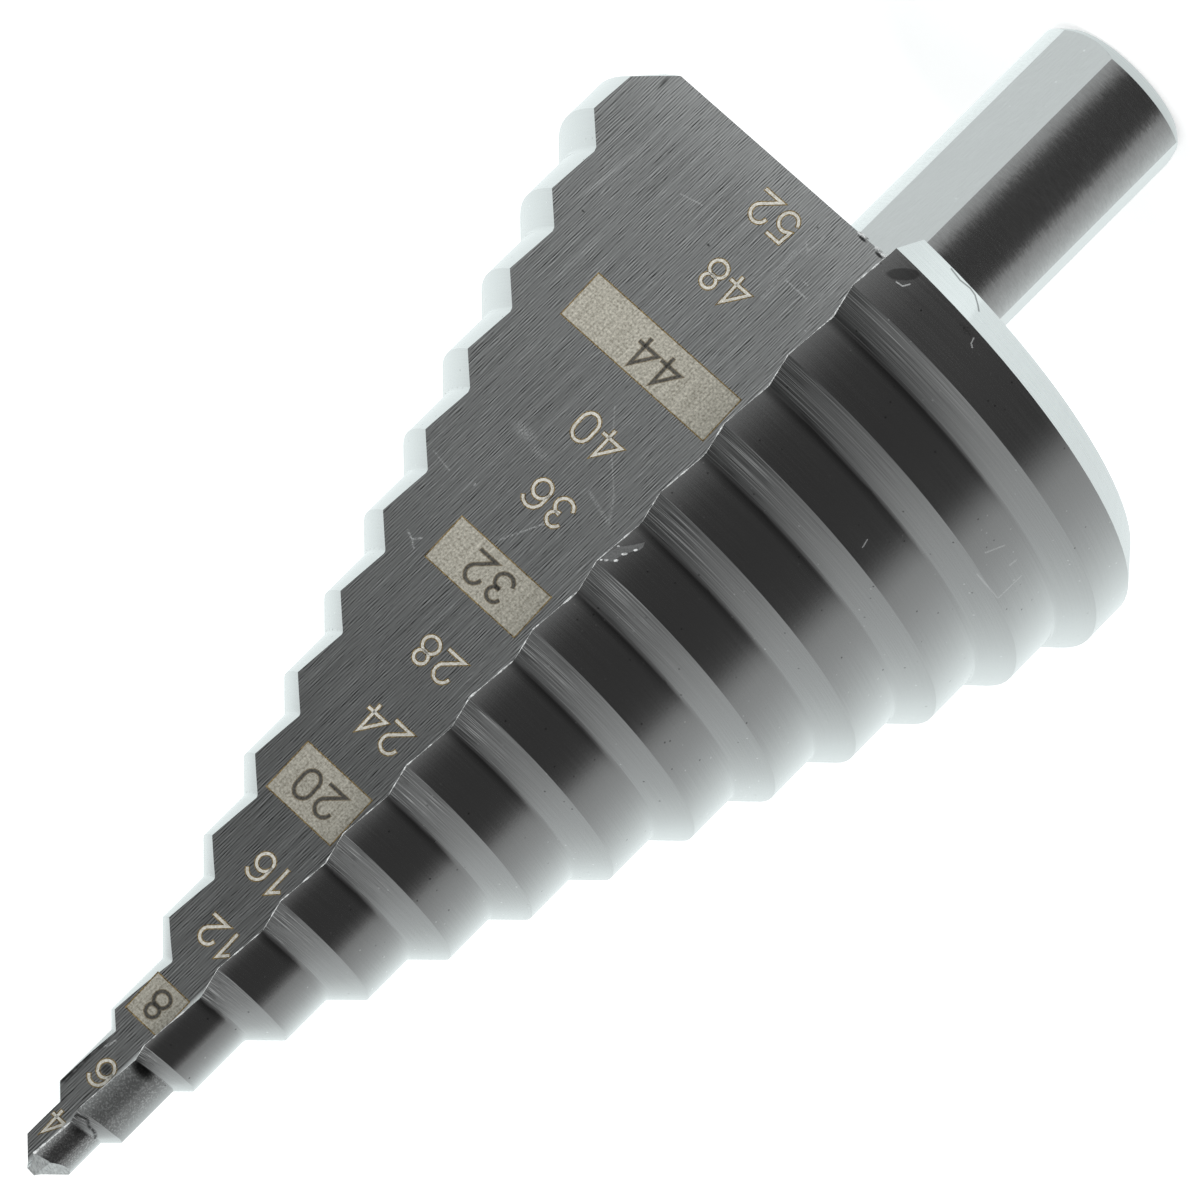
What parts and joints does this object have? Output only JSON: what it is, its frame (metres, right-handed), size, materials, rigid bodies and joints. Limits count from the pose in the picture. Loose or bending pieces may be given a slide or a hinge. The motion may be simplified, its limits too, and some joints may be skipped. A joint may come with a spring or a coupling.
{
  "type": "step drill",
  "caption": "Cone-shaped step drill with straight V flutes, size marks on the flute wall and a round shank with flats for a three-jaw chuck.",
  "frame": {"origin": "centre of the shank's end face, on the drill's axis", "axes": "+Z along the drill's axis, from the shank towards the point; one cutting lip faces -Y and the other +Y"},
  "size_m": [0.052, 0.052, 0.1096],
  "materials": {
    "ground_steel": "ground high-speed steel, bright along the cutting edges"
  },
  "bodies": {
    "root": {"step_drill": "ground_steel"}
  },
  "joints": []
}
